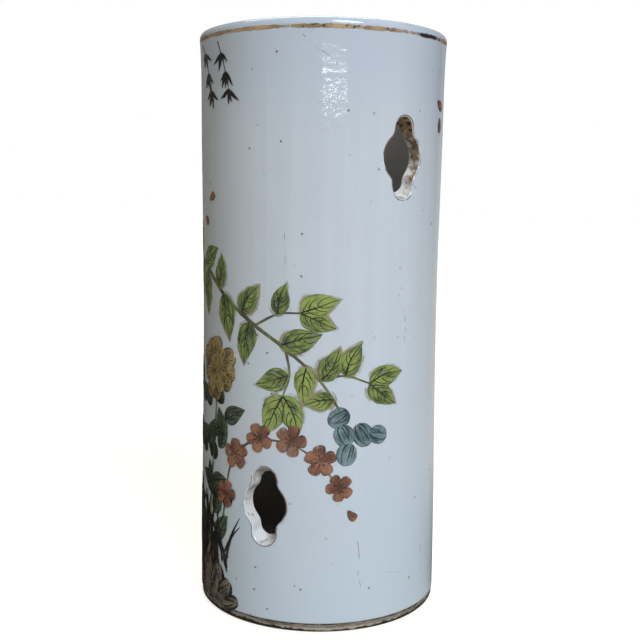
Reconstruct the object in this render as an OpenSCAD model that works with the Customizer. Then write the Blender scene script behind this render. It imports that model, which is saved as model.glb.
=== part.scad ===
// Porcelain hat stand: a thrown cylinder with a rolled lip, pierced by two rows of
// four-lobed openings and luted onto a turned base. Gilding rings the lip and lines the openings.
// Millimetres, +Z up, origin on the table at the stand's axis, painted front towards -Y.

/* [Wall] */
// Height of the stand from the table to the top of the lip
stand_h = 285; // [265:1:305]
// Outside radius at the bottom of the wall
foot_r = 60.4; // [50:0.1:70]
// Thickness of the wall at the waist, where it is thinnest
wall_t = 6.5; // [4:0.1:9]
// How far the outside draws in from the foot to the waist
waist_in = 1.3; // [0.3:0.1:4]
// Height of the waist above the table
waist_z = 157; // [120:1:190]
// How far the outside swells out again from the waist to the shoulder
shoulder_out = 0.7; // [0.1:0.1:4]
// Rounding of the glaze where it stops above the base
glaze_edge_r = 0.8; // [0.3:0.1:1.5]

/* [Lip] */
// How far the lip flares out from the shoulder
lip_out = 0.7; // [0.1:0.1:4]
// Thickness of the rolled lip
lip_t = 6.6; // [5:0.1:8]
// Height of the flare, from the shoulder up to the land under the lip
flare_h = 14; // [8:1:25]
// Height of the straight land under the rolled lip
land_h = 3; // [2.5:0.1:6]

/* [Base] */
// Height of the unglazed edge that shows below the wall
edge_h = 4.2; // [3:0.1:7]
// How far that edge stands in from the foot of the wall
edge_step = 0.4; // [0:0.1:1.5]
// Chamfer on the bottom corner of the edge
foot_chamfer = 1.1; // [0.3:0.1:2]
// Width of the ring that stands on the table
foot_ring_w = 7; // [4:0.1:12]
// Slope of the inner side of the ring, as a run towards the axis
foot_ring_run = 1.5; // [0:0.1:4]
// Depth of the hollow under the floor
recess_h = 3.5; // [2:0.1:6]
// Thickness of the floor
floor_t = 7; // [5:0.1:10]
// Radius of the coil of clay pressed into the corner of wall and floor
coil_r = 6; // [3:0.5:10]

/* [Openings] */
// Depth of the centres of the upper openings below the top of the lip
upper_drop = 61; // [50:0.5:80]
// Height of the centres of the lower openings above the table
lower_z = 60; // [50:0.5:80]
// Turns of the three upper openings from the painted front, spaced by hand
upper_turns = [64, 178, 292]; // [0:1:359]
// Turns of the three lower openings from the painted front, spaced by hand
lower_turns = [0, 120, 252]; // [0:1:359]
// Radius of the wide middle lobe at the outside
middle_r = 11.2; // [9:0.1:14]
// Radius of the two end lobes at the outside
end_r = 5.8; // [5:0.1:8]
// Distance of the end lobes' centres from the opening's centre, at the outside
end_rise = 13.3; // [11:0.1:15]
// Radius of the necks that join the end lobes to the middle one, at the outside
neck_r = 6.9; // [5.5:0.1:9]
// Distance of the necks' centres from the opening's centre, at the outside
neck_rise = 9.6; // [8:0.1:12]
// How much smaller each lobe's radius is at the inside
lobe_taper = 1.2; // [0:0.1:2]
// How much nearer the centre the end lobes are at the inside
end_draw = 2.3; // [0:0.1:4]

/* [Gilding] */
// Height of the gilt band under the lip
gilt_band_h = 2.3; // [1:0.1:2.5]
// Thickness of the gilding
gilt_t = 0.15; // [0.05:0.01:0.4]

/* [Hidden] */
$fn = 128;

// Straight steps that follow each curve of the wall's section
curve_steps = 8;
// Straight steps round the rolled lip, and round the glaze edge at the foot
roll_steps = 16;
edge_steps = 4;
// How far a cutter runs on past the faces of the wall
overrun = 4;

waist_r = foot_r - waist_in;
shoulder_r = waist_r + shoulder_out;
lip_r = shoulder_r + lip_out;
bore_r = waist_r - wall_t;
lip_roll = lip_t / 2;
lip_z = stand_h - lip_roll;
land_z = lip_z - land_h;
shoulder_z = land_z - flare_h;
edge_r = foot_r - edge_step;
floor_z = recess_h + floor_t;
gilt_band_z = lip_z - gilt_band_h;
upper_z = stand_h - upper_drop;
neck_draw = end_draw * neck_rise / end_rise;

porcelain = [0.86, 0.89, 0.92];
biscuit = [0.62, 0.56, 0.48];
gold = [0.72, 0.53, 0.25];

// Value between a and b at share t, level at both ends
function ease(a, b, t) = a + (b - a) * (1 - cos(180 * t)) / 2;

// Points of an arc about a centre, from one angle to another
function arc(centre, r, from, to, steps) =
    [for (i = [0:steps]) let (a = from + (to - from) * i / steps) centre + r * [cos(a), sin(a)]];

// Outside radius of the wall at a height below the land
function outer_r(z) =
    z < waist_z ? ease(foot_r, waist_r, (z - edge_h) / (waist_z - edge_h)) :
    z < shoulder_z ? ease(waist_r, shoulder_r, (z - waist_z) / (shoulder_z - waist_z)) :
    ease(shoulder_r, lip_r, (z - shoulder_z) / flare_h);

// Points up the outside from one height to another
function outer_curve(from, to) =
    [for (i = [1:curve_steps]) let (z = from + (to - from) * i / curve_steps) [outer_r(z), z]];

// Points down the inside, from the lip to the bore
function inner_curve() =
    [for (i = [0:curve_steps]) let (t = i / curve_steps)
        [ease(lip_r - lip_t, bore_r, t), lip_z - (lip_z - shoulder_z) * t]];

// Section of the wall: rounded glaze edge, waisted outside, flare, land, rolled lip, straight bore
module wall_section() {
    polygon(concat(
        arc([foot_r - glaze_edge_r, edge_h + glaze_edge_r], glaze_edge_r, -90, 0, edge_steps),
        outer_curve(edge_h + glaze_edge_r, waist_z),
        outer_curve(waist_z, shoulder_z),
        outer_curve(shoulder_z, land_z),
        arc([lip_r - lip_roll, lip_z], lip_roll, 0, 180, roll_steps),
        inner_curve(),
        [[bore_r, edge_h]]
    ));
}

// The thrown wall before its openings are cut
module wall_blank() {
    rotate_extrude() wall_section();
}

// One tapered lobe of an opening on the +X side, cut from the bore to the outside
module lobe_cut(z, rise, draw, r) {
    run = outer_r(z) - bore_r;
    slant = atan2(draw, run);
    depth = norm([run, draw]);
    narrowing = lobe_taper * overrun / depth;
    translate([bore_r, 0, z + rise - draw])
        rotate([0, 90 - slant, 0])
            translate([0, 0, -overrun])
                cylinder(h = depth + 2 * overrun, r1 = r - lobe_taper - narrowing, r2 = r + narrowing);
}

// A four-lobed opening on the +X side: a wide middle lobe, and above and below it an end lobe that a
// neck joins to it
module opening_cut(z, inset) {
    lobe_cut(z, 0, 0, middle_r - inset);
    for (side = [1, -1]) {
        lobe_cut(z, side * neck_rise, side * neck_draw, neck_r - inset);
        lobe_cut(z, side * end_rise, side * end_draw, end_r - inset);
    }
}

// Places what is drawn on the +X side at a turn from the front, towards +X
module at_turn(turn) {
    rotate([0, 0, turn - 90]) children();
}

module wall() {
    color(porcelain) difference() {
        wall_blank();
        for (turn = upper_turns) at_turn(turn) opening_cut(upper_z, 0);
        for (turn = lower_turns) at_turn(turn) opening_cut(lower_z, 0);
    }
}

// Turned base: a floor that plugs the bore, a flange that carries the wall and a foot ring
module base() {
    ring_in = edge_r - foot_chamfer - foot_ring_w;
    color(biscuit) rotate_extrude() polygon([
        [0, recess_h],
        [ring_in - foot_ring_run, recess_h],
        [ring_in, 0],
        [edge_r - foot_chamfer, 0],
        [edge_r, foot_chamfer],
        [edge_r, edge_h],
        [bore_r, edge_h],
        [bore_r, floor_z],
        [0, floor_z]
    ]);
}

// Coil of clay smoothed into the inner corner, with a hollow face
module luting_coil() {
    color(porcelain) rotate_extrude() polygon(concat(
        [[bore_r, floor_z]],
        arc([bore_r - coil_r, floor_z + coil_r], coil_r, 0, -90, curve_steps)
    ));
}

// Gilt band on the straight land under the lip
module rim_gilding() {
    color(gold) translate([0, 0, gilt_band_z]) difference() {
        cylinder(h = gilt_band_h, r = lip_r + gilt_t);
        translate([0, 0, -overrun]) cylinder(h = gilt_band_h + 2 * overrun, r = lip_r);
    }
}

// Gilding on the cut faces of one opening
module opening_gilding(turn, z) {
    color(gold) at_turn(turn) difference() {
        intersection() {
            wall_blank();
            opening_cut(z, 0);
        }
        opening_cut(z, gilt_t);
    }
}

wall();
base();
luting_coil();
rim_gilding();
opening_gilding(upper_turns[0], upper_z);  // upper_opening_gilding_1
opening_gilding(upper_turns[1], upper_z);  // upper_opening_gilding_2
opening_gilding(upper_turns[2], upper_z);  // upper_opening_gilding_3
opening_gilding(lower_turns[0], lower_z);  // lower_opening_gilding_1
opening_gilding(lower_turns[1], lower_z);  // lower_opening_gilding_2
opening_gilding(lower_turns[2], lower_z);  // lower_opening_gilding_3
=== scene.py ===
import math

import bpy
import numpy as np
from mathutils import Matrix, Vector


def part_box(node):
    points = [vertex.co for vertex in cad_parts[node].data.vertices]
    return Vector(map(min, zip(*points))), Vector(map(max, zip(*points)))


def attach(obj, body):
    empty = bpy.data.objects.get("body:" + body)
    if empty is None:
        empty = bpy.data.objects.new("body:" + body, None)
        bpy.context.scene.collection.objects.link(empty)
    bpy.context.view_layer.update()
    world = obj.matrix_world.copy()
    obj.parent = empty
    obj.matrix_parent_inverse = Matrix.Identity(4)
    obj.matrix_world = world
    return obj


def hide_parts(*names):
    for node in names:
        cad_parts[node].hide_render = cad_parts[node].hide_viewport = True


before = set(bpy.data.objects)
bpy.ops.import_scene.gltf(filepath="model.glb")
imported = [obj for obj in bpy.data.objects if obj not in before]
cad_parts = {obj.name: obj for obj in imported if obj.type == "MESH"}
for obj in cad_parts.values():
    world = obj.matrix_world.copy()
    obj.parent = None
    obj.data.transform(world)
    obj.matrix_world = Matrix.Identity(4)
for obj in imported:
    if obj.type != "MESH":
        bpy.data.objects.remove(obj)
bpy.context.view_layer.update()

# Camera: half a metre from the stand's axis, above its middle and looking slightly down. It stands a
# little to the right of the painted front, so that a lower opening falls left of the stand's middle
# and an upper one right of it.
MM = 0.001
CAMERA_AZIMUTH = 25.0
CAMERA_DISTANCE = 550.5 * MM
CAMERA_HEIGHT = 220.5 * MM
CAMERA_PITCH = 8.16
CAMERA_ROLL = 0.71
CAMERA_LENS = 61.2


def facing_axis(azimuth, elevation, away, aim, roll=0.0):
    """Matrix of a camera or a lamp that looks at a height on the stand's axis, from an azimuth, an
    elevation and a distance, rolled about its own line of sight. Angles are in degrees."""
    turn, lift = math.radians(azimuth), math.radians(elevation)
    side = np.array([math.cos(turn), math.sin(turn), 0.0])
    back = np.array([math.sin(turn) * math.cos(lift), -math.cos(turn) * math.cos(lift), math.sin(lift)])
    columns = np.stack([side, np.cross(back, side), back, back * away + np.array([0, 0, aim])], axis=-1)
    return Matrix(columns.tolist() + [[0, 0, 0, 1]]) @ Matrix.Rotation(math.radians(roll), 4, "Z")


camera_data = bpy.data.cameras.new("camera")
camera_data.lens = CAMERA_LENS
camera_data.sensor_width = 36.0
camera_data.clip_start = 0.01
camera = bpy.data.objects.new("camera", camera_data)
bpy.context.scene.collection.objects.link(camera)
pitch = math.radians(CAMERA_PITCH)
camera.matrix_world = facing_axis(
    CAMERA_AZIMUTH, CAMERA_PITCH, CAMERA_DISTANCE / math.cos(pitch),
    CAMERA_HEIGHT - CAMERA_DISTANCE * math.tan(pitch), CAMERA_ROLL)
bpy.context.scene.camera = camera

# The wall is one thrown porcelain cylinder, about seven millimetres thick, drawn in a little at the
# waist and rolled over at the lip. Six four-lobed openings are cut through it by hand while the clay
# is leather hard, and the glaze softens every edge.
wall_low, wall_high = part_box("wall")
STAND_H = wall_high.z
GLAZE_FOOT_Z = wall_low.z
FOOT_R = 60.4 * MM
WAIST_R = 59.1 * MM
WAIST_Z = 157 * MM
SHOULDER_R = 59.8 * MM
LIP_R = 60.5 * MM
LIP_T = 6.6 * MM
LIP_ROLL = LIP_T / 2
LIP_Z = STAND_H - LIP_ROLL
LAND_Z = LIP_Z - 0.4 * MM
FLARE_H = 27.3 * MM
SHOULDER_Z = LAND_Z - FLARE_H
LIP_BAND_Z = LIP_Z - 17 * MM
LIP_SAG = 2.0 * MM
LIP_HIGH_TURN = math.radians(25)
BORE_R = 52.6 * MM
FOOT_ROUND = 0.8 * MM
FOOT_BAND_Z = 12 * MM
MIDDLE_Z = 142 * MM
LOBE_TAPER = 1.2 * MM
END_DRAW = 2.3 * MM
OUTER_EDGE_R = 0.9 * MM
INNER_EDGE_R = 0.9 * MM
COLUMNS = 180
EDGE_STEPS, THROUGH_STEPS = 6, 7
RINGS_OUTSIDE, RINGS_INSIDE, RING_CROWDING = 24, 10, 1.7
WELD = 1e-7

# Turn and height of each opening's centre, radius of its middle lobe, radius and rise of its top lobe
# and of its bottom lobe, then radius of the hollows at its necks.
UPPER_CUTS = [
    (64.2, 224.1, 11.2, 5.2, 13.2, 6.1, 13.2, 6.0),
    (178.0, 224.0, 11.2, 5.9, 13.3, 5.7, 13.4, 8.0),
    (292.0, 223.8, 11.3, 5.7, 13.5, 5.9, 13.1, 7.0),
]
LOWER_CUTS = [
    (-0.2, 60.4, 11.1, 6.3, 12.2, 6.1, 13.1, 5.5),
    (120.0, 60.0, 11.2, 5.8, 13.2, 5.9, 13.3, 8.0),
    (252.0, 60.1, 11.1, 5.6, 13.4, 6.0, 13.0, 9.0),
]


def ease(start, end, share):
    """Blend from start to end that leaves and arrives level: half a cosine wave over share 0 to 1."""
    return start + (end - start) * (1 - np.cos(np.pi * np.clip(share, 0, 1))) / 2


def outer_radius(z):
    """Outside radius of the wall: eased from foot to waist and on to the shoulder, then flared to the
    lip by the square of the height."""
    low = ease(FOOT_R, WAIST_R, (z - GLAZE_FOOT_Z) / (WAIST_Z - GLAZE_FOOT_Z))
    middle = ease(WAIST_R, SHOULDER_R, (z - WAIST_Z) / (SHOULDER_Z - WAIST_Z))
    top = SHOULDER_R + (LIP_R - SHOULDER_R) * np.clip((z - SHOULDER_Z) / FLARE_H, 0, 1) ** 2
    return np.where(z < WAIST_Z, low, np.where(z < SHOULDER_Z, middle, top))


def hand_wobble(turn, z):
    """Out-of-round of a hand-thrown wall: two slow waves round the axis that twist with height."""
    rise = z / STAND_H
    return (0.10 * np.sin(2 * turn + 2.5 * rise) + 0.07 * np.sin(3 * turn - 4 * rise + 1)) * MM


def lip_sag(turn, z):
    """Sag of the lip in the kiln: it dips at two opposite sides, by the square of the sine of the turn
    from its high side, and the dip eases out down the band below the lip."""
    share = (z - LIP_BAND_Z) / (LIP_Z - LIP_BAND_Z)
    return -ease(0.0, LIP_SAG, share) * np.sin(turn - LIP_HIGH_TURN) ** 2


def round_axis(turn, r, z):
    """Points at a turn from the front (-Y) towards +X, a radius and a height."""
    return np.stack(np.broadcast_arrays(r * np.sin(turn), -r * np.cos(turn), z), axis=-1)


def on_wall(turn, z, lift=0.0):
    """Points on the outside of the wall at a turn and a height, lifted off the glaze."""
    return round_axis(turn, outer_radius(z) + hand_wobble(turn, z) + lift, z + lip_sag(turn, z))


def quarter_outline(share, middle_r, end_r, rise, notch_r):
    """A quarter of a four-lobed outline, from its side (share 0) to its top (share 1) at an even pace:
    an arc of the middle lobe, a hollow arc that rounds the neck, then an arc of the end lobe."""
    a, b = middle_r + notch_r, end_r + notch_r
    notch_h = (a * a - b * b + rise * rise) / (2 * rise)
    notch_s = np.sqrt(a * a - notch_h * notch_h)
    middle_end = np.arctan2(notch_h, notch_s)
    lobe_start = np.arctan2(notch_h - rise, notch_s)
    first = middle_r * middle_end
    second = notch_r * (middle_end - lobe_start)
    third = end_r * (np.pi / 2 - lobe_start)
    way = share * (first + second + third)
    on_middle = way / middle_r
    on_notch = middle_end + np.pi - (way - first) / notch_r
    on_end = lobe_start + (way - first - second) / end_r
    arcs = [way < first, way < first + second]
    s = np.select(arcs, [middle_r * np.cos(on_middle), notch_s + notch_r * np.cos(on_notch)],
                  end_r * np.cos(on_end))
    h = np.select(arcs, [middle_r * np.sin(on_middle), notch_h + notch_r * np.sin(on_notch)],
                  rise + end_r * np.sin(on_end))
    return s, h


def round_outline(low_steps, high_steps, half_steps):
    """Shares and signs that lead once round an outline, anticlockwise from its right side."""
    high, low = high_steps + half_steps, low_steps + half_steps
    up, down = np.arange(high) / high, np.arange(low) / low
    counts = [high, high, low, low]
    return (np.concatenate([up, 1 - up, down, 1 - down]),
            np.repeat([1, -1, -1, 1], counts), np.repeat([1, 1, -1, -1], counts))


def cut_points(cut, lead, grow, depth):
    """Turn, radius and height of points on an opening's cut face: its outline at a depth share (0
    outside, 1 at the bore), grown by an offset. Deeper in, the lobes narrow and draw together."""
    turn, centre_z, middle_r, top_r, top_rise, bottom_r, bottom_rise, notch_r = cut
    share, side_s, side_h = lead
    narrow = grow - LOBE_TAPER * depth
    end_r = np.where(side_h > 0, top_r, bottom_r) * MM + narrow
    rise = np.where(side_h > 0, top_rise, bottom_rise) * MM - END_DRAW * depth
    s, h = quarter_outline(share, middle_r * MM + narrow, end_r, rise, notch_r * MM - narrow)
    z = centre_z * MM + side_h * h
    outside = outer_radius(z) + hand_wobble(math.radians(turn), z)
    r = outside * (1 - depth) + BORE_R * depth
    return math.radians(turn) + np.arcsin(side_s * s / r), r, z


def cut_profile(centre_z):
    """Growth and depth share along a cut through the wall: round its outer edge, straight through and
    round its inner edge."""
    thickness = float(outer_radius(centre_z * MM)) - BORE_R
    bend = np.linspace(0, math.pi / 2, EDGE_STEPS)[:, None]
    back = bend[::-1]
    through = np.linspace(OUTER_EDGE_R, thickness - INNER_EDGE_R, THROUGH_STEPS + 2)[1:-1, None]
    grow = np.concatenate([
        OUTER_EDGE_R * (1 - np.sin(bend)), 0 * through, INNER_EDGE_R * (1 - np.sin(back))])
    depth = np.concatenate([
        OUTER_EDGE_R * (1 - np.cos(bend)), through, thickness - INNER_EDGE_R * (1 - np.cos(back))])
    return grow, depth / thickness


def panel(cut, middle, low_z, high_z, low_steps, high_steps):
    """A third of one row of the wall with its opening: rings that run in over the outside from the
    panel's border to the opening, through the cut and out again over the bore. Returns a grid of
    points and how far each ring lies inside the hollow."""
    half_turn = math.pi / 3
    half_steps = COLUMNS // 6
    centre_z = cut[1] * MM
    over = np.linspace(half_turn, -half_turn, 2 * half_steps, endpoint=False)
    up = np.linspace(centre_z, high_z, high_steps, endpoint=False)
    down = np.linspace(centre_z, low_z, low_steps, endpoint=False)
    border_turn = math.radians(middle) + np.concatenate([
        np.full(high_steps, half_turn), over, np.full(high_steps, -half_turn),
        np.full(low_steps, -half_turn), -over, np.full(low_steps, half_turn)])
    border_z = np.concatenate([
        up, np.full(2 * half_steps, high_z), high_z + centre_z - up,
        down, np.full(2 * half_steps, low_z), low_z + centre_z - down])

    grow, depth = cut_profile(cut[1])
    lead = round_outline(low_steps, high_steps, half_steps)
    cut_turn, cut_r, cut_z = cut_points(cut, lead, grow, depth)
    border, rings = np.stack([border_turn, border_z])[:, None], np.stack([cut_turn, cut_z])
    outer, inner = rings[:, :1], rings[:, -1:]
    spread = np.linspace(1, 0, RINGS_OUTSIDE + 1)[:-1, None] ** RING_CROWDING
    in_spread = np.linspace(0, 1, RINGS_INSIDE + 1)[1:, None] ** RING_CROWDING
    in_turn, in_z = inner + (border - inner) * in_spread
    points = np.concatenate([
        on_wall(*(outer + (border - outer) * spread)), round_axis(cut_turn, cut_r, cut_z),
        round_axis(in_turn, BORE_R, in_z)])
    return points, np.concatenate([np.zeros_like(spread), depth, np.ones_like(in_spread)])


def full_turn(count):
    """Angles that lead once round in even steps."""
    return np.arange(count) * 2 * math.pi / count


def turned(profile_r, profile_z, wobble=0.0):
    """A profile turned once round the axis, with a share of the wall's wobble at each profile point."""
    turn = full_turn(COLUMNS) + math.pi / 3
    r, z = np.asarray(profile_r)[:, None], np.asarray(profile_z)[:, None]
    return round_axis(turn, r + np.asarray(wobble) * hand_wobble(turn, z), z + lip_sag(turn, z))


def arc(centre_r, centre_z, r, start, end, steps):
    """Points of an arc in the plane of a profile, between two angles in degrees."""
    angle = np.radians(np.linspace(start, end, steps))
    return centre_r + r * np.cos(angle), centre_z + r * np.sin(angle)


def make_piece(name, grids, values=None, rows_close=False, capped=False):
    """One object from grids of points whose columns close into rings: quads over each grid, flat caps
    on its end rings if asked for, coincident points welded, smooth faces, and named values, listed
    grid by grid, carried to the points. The piece rides on the stand."""
    faces, caps, start = [], [], 0
    for grid in grids:
        rows, columns = grid.shape[:2]
        i, j = np.arange(rows if rows_close else rows - 1)[:, None], np.arange(columns)[None, :]
        k, m = (i + 1) % rows, (j + 1) % columns
        corners = np.broadcast_arrays(
            i * columns + j, i * columns + m, k * columns + m, k * columns + j)
        faces.append(start + np.stack(corners, axis=-1).reshape(-1, 4))
        if capped:
            end_ring = start + np.arange(columns)
            caps += [end_ring[::-1], end_ring + (rows - 1) * columns]
        start += rows * columns
    points = np.concatenate([grid.reshape(-1, 3) for grid in grids])
    cells = np.round(points / WELD).astype(np.int64)
    _, first, index = np.unique(cells, axis=0, return_index=True, return_inverse=True)
    index = index.ravel()
    mesh = bpy.data.meshes.new(name)
    mesh.from_pydata(points[first].tolist(), [],
                     index[np.concatenate(faces)].tolist() + [index[cap].tolist() for cap in caps])
    for key, value in (values or {}).items():
        flat = np.concatenate([
            np.broadcast_to(v, grid.shape[:2]).ravel() for v, grid in zip(value, grids)])
        mesh.attributes.new(key, "FLOAT", "POINT").data.foreach_set(
            "value", flat[first].astype(np.float32))
    mesh.shade_smooth()
    piece = bpy.data.objects.new(name, mesh)
    bpy.context.scene.collection.objects.link(piece)
    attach(piece, "root")
    return piece


THIRD = 120
STEPS_TO_LIP, STEPS_TO_MIDDLE, STEPS_TO_FOOT = 18, 36, 22
panels = [panel(cut, THIRD / 2 + THIRD * i, MIDDLE_Z, LIP_BAND_Z, STEPS_TO_MIDDLE, STEPS_TO_LIP)
          for i, cut in enumerate(UPPER_CUTS)]
panels += [panel(cut, THIRD * i, FOOT_BAND_Z, MIDDLE_Z, STEPS_TO_FOOT, STEPS_TO_MIDDLE)
           for i, cut in enumerate(LOWER_CUTS)]

FLARE_ROWS, ROLL_ROWS, FADE_ROWS, INNER_ROWS = 11, 25, 9, 8
flare_z = np.linspace(LIP_BAND_Z, LAND_Z, FLARE_ROWS)
roll_r, roll_z = arc(LIP_R - LIP_ROLL, LIP_Z, LIP_ROLL, 0, 180, ROLL_ROWS)
inward = np.linspace(0, 1, INNER_ROWS + 1)[1:]
lip = turned(
    np.concatenate([outer_radius(flare_z), roll_r, ease(LIP_R - LIP_T, BORE_R, inward)]),
    np.concatenate([flare_z, roll_z, LIP_Z + (LIP_BAND_Z - LIP_Z) * inward]),
    np.concatenate([np.ones(FLARE_ROWS), np.linspace(1, 0, ROLL_ROWS), np.zeros(INNER_ROWS)])[:, None])
lip_inside = np.concatenate([np.zeros(FLARE_ROWS + ROLL_ROWS - FADE_ROWS),
                             np.linspace(0, 1, FADE_ROWS), np.ones(INNER_ROWS)])[:, None]

edge_r, edge_z = arc(FOOT_R - FOOT_ROUND, GLAZE_FOOT_Z + FOOT_ROUND, FOOT_ROUND, -90, 0, 7)
band_z = np.linspace(GLAZE_FOOT_Z + FOOT_ROUND, FOOT_BAND_Z, 5)[1:]
foot_inside = np.concatenate([[1, 1], np.zeros(len(edge_r) + len(band_z))])[:, None]
foot = turned(
    np.concatenate([[BORE_R, BORE_R], edge_r, outer_radius(band_z)]),
    np.concatenate([[FOOT_BAND_Z, GLAZE_FOOT_Z], edge_z, band_z]), 1 - foot_inside)

wall_grids, inside = zip(*panels, (lip, lip_inside), (foot, foot_inside))
wall = make_piece("porcelain_wall", wall_grids, {"inside": inside})
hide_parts("wall")


def fill(tree, socket, value):
    """Sets an input to a plain value, or links it to a socket or a surface value."""
    value = getattr(value, "socket", value)
    if isinstance(value, bpy.types.NodeSocket):
        tree.links.new(value, socket)
    else:
        socket.default_value = value


def feed(tree, node, *values):
    """Fills a node's inputs in their order, and gives its first output."""
    for socket, value in zip(node.inputs, values):
        fill(tree, socket, value)
    return SurfaceValue(tree, node.outputs[0])


def dress(tree, node, **values):
    """Fills a node's inputs by name, with an underscore for a space."""
    for key, value in values.items():
        fill(tree, node.inputs[key.replace("_", " ")], value)


def add(tree, kind, settings=None, **values):
    """A node in a tree: settings are its own properties, and values fill its inputs."""
    node = tree.nodes.new(kind)
    for key, value in (settings or {}).items():
        setattr(node, key, value)
    dress(tree, node, **values)
    return node


class SurfaceValue:
    """A number, colour or place that changes over a surface: a socket of a node tree. Arithmetic and
    patterns on it add nodes to that tree and give further values."""

    def __init__(self, tree, socket):
        self.tree, self.socket = tree, socket

    def through(self, kind, settings=None, **values):
        """The first output of a new node in the same tree."""
        return SurfaceValue(self.tree, add(self.tree, kind, settings, **values).outputs[0])

    def math(self, operation, *values):
        """The result of one arithmetic operation."""
        return feed(self.tree, add(self.tree, "ShaderNodeMath", {"operation": operation}), *values)

    def __mul__(self, other):
        return self.math("MULTIPLY", self, other)

    def __truediv__(self, other):
        return self.math("DIVIDE", self, other)

    def __add__(self, other):
        return self.math("ADD", self, other)

    def __sub__(self, other):
        return self.math("SUBTRACT", self, other)

    def __rsub__(self, other):
        return self.math("SUBTRACT", other, self)

    def __abs__(self):
        return self.math("ABSOLUTE", self)

    def ramp(self, low, high):
        """0 where the value is low and 1 where it is high, smoothly, and held outside."""
        return self.through("ShaderNodeMapRange", {"interpolation_type": "SMOOTHSTEP"},
                            Value=self, From_Min=low, From_Max=high)

    def fade(self, low, high):
        """1 where the value is low and 0 where it is high, smoothly, and held outside."""
        return 1.0 - self.ramp(low, high)

    def blend(self, first, second):
        """Two colours mixed by the value."""
        return feed(self.tree, add(self.tree, "ShaderNodeMixRGB"), self, first, second)

    def emboss(self, strength, distance):
        """Normals that follow the value as a small height."""
        return self.through("ShaderNodeBump", Height=self, Strength=strength, Distance=distance)

    def noise(self, scale, detail=2.0):
        """Soft noise about 0.5 over a place, at a scale in cells per metre."""
        return self.through("ShaderNodeTexNoise", Vector=self, Scale=scale, Detail=detail)

    def upright(self, times):
        """A place with its height multiplied: below 1 draws patterns out upwards."""
        return self.through("ShaderNodeMapping", Vector=self, Scale=(1.0, 1.0, times))

    def height(self):
        """Height of a place above the table."""
        place = add(self.tree, "ShaderNodeSeparateXYZ", Vector=self)
        return SurfaceValue(self.tree, place.outputs["Z"])


def value_of(tree, name):
    """A named value that the mesh carries."""
    carried = add(tree, "ShaderNodeAttribute", {"attribute_name": name})
    return SurfaceValue(tree, carried.outputs["Fac"])


def new_group(name, inputs, outputs):
    """An empty node group: its tree, its inputs by name and its output node."""
    tree = bpy.data.node_groups.new(name, "ShaderNodeTree")
    for way, sockets in (("INPUT", inputs), ("OUTPUT", outputs)):
        for key, kind in sockets.items():
            tree.interface.new_socket(key, in_out=way, socket_type="NodeSocket" + kind)
    entry, way_out = tree.nodes.new("NodeGroupInput").outputs, tree.nodes.new("NodeGroupOutput")
    return tree, {key: SurfaceValue(tree, entry[key]) for key in inputs}, way_out


def use_group(tree, group, **values):
    """The outputs, by name, of a node group placed in a material with its own values."""
    node = add(tree, "ShaderNodeGroup", {"node_tree": group}, **values)
    return {socket.name: SurfaceValue(tree, socket) for socket in node.outputs}


def new_material(name):
    """A node material with its tree, its shader and its Object coordinates."""
    material = bpy.data.materials.new(name)
    material.use_nodes = True
    tree = material.node_tree
    place = SurfaceValue(tree, tree.nodes.new("ShaderNodeTexCoord").outputs["Object"])
    return material, tree, tree.nodes["Principled BSDF"], place


# Kiln specks: iron grains that burnt through the glaze. Points scattered in space mark the surface
# only where they lie near it, so the spots come in every size up to the radius.
SPECK_SHAKE = (0.0006, 0.0006, 0.0006)
specks, given, marked = new_group(
    "kiln_specks", {"Place": "Vector", "Spacing": "Float", "Radius": "Float"},
    {"Spot": "Float", "Halo": "Float"})
shake = add(specks, "ShaderNodeTexNoise", Vector=given["Place"], Scale=900.0, Detail=1.0)
shaken = feed(specks, add(specks, "ShaderNodeVectorMath", {"operation": "MULTIPLY_ADD"}),
              shake.outputs["Color"], SPECK_SHAKE, given["Place"])
reach = shaken.through("ShaderNodeTexVoronoi", Vector=shaken, Scale=given["Spacing"]) / given["Radius"]
dress(specks, marked, Spot=reach.fade(0.55, 1.0), Halo=reach.fade(0.7, 2.2))

# Glaze skin: the unevenness of a poured glaze, pitted finely like orange peel except near the lip,
# where it lies thick, with slow swells drawn out round the wall and faint runs down it.
THICK_FROM, THICK_TO = 0.262, 0.272
PIT_DEPTH, SWELL_CALM = 0.56, 0.62
skin, given, poured = new_group(
    "glaze_skin", {"Place": "Vector"}, {"Height": "Float", "Mottle": "Float", "Runs": "Float"})
place = given["Place"]
thick = (place.noise(60.0, 1.0) * 0.02 + place.height()).ramp(THICK_FROM, THICK_TO)
pits = place.noise(540.0, 1.0) * ((1.0 - thick) * PIT_DEPTH)
swells = place.upright(2.4).noise(60.0) * (1.0 - thick * SWELL_CALM)
dress(skin, poured, Height=pits + swells, Mottle=place.noise(22.0, 4.0),
      Runs=place.upright(0.06).noise(150.0, 4.0))

# The glaze is a bluish white felspar glaze: greyer where it lies thin, paler in its runs, pooled
# towards the foot, cooler at the lip, white in the cuts and dull inside, where it was only rinsed.
# Inside the bore and deep in the cuts it is painted a darker grey: painted shade of the hollow.
GLAZE_COLOUR = (0.54, 0.612, 0.70, 1)
GLAZE_THIN = (0.53, 0.595, 0.67, 1)
GLAZE_RUN = (0.60, 0.665, 0.74, 1)
GLAZE_POOLED = (0.517, 0.617, 0.708, 1)
GLAZE_LIP = (0.475, 0.56, 0.67, 1)
GLAZE_CUT = (0.69, 0.695, 0.70, 1)
IRON_SPOT = (0.035, 0.026, 0.02, 1)
IRON_HALO = (0.33, 0.27, 0.21, 1)
PINHOLE = (0.30, 0.31, 0.31, 1)
FOOT_EDGE = (0.20, 0.18, 0.15, 1)
PAINTED_INSIDE_SHADE = (0.36, 0.355, 0.34, 1)

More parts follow.
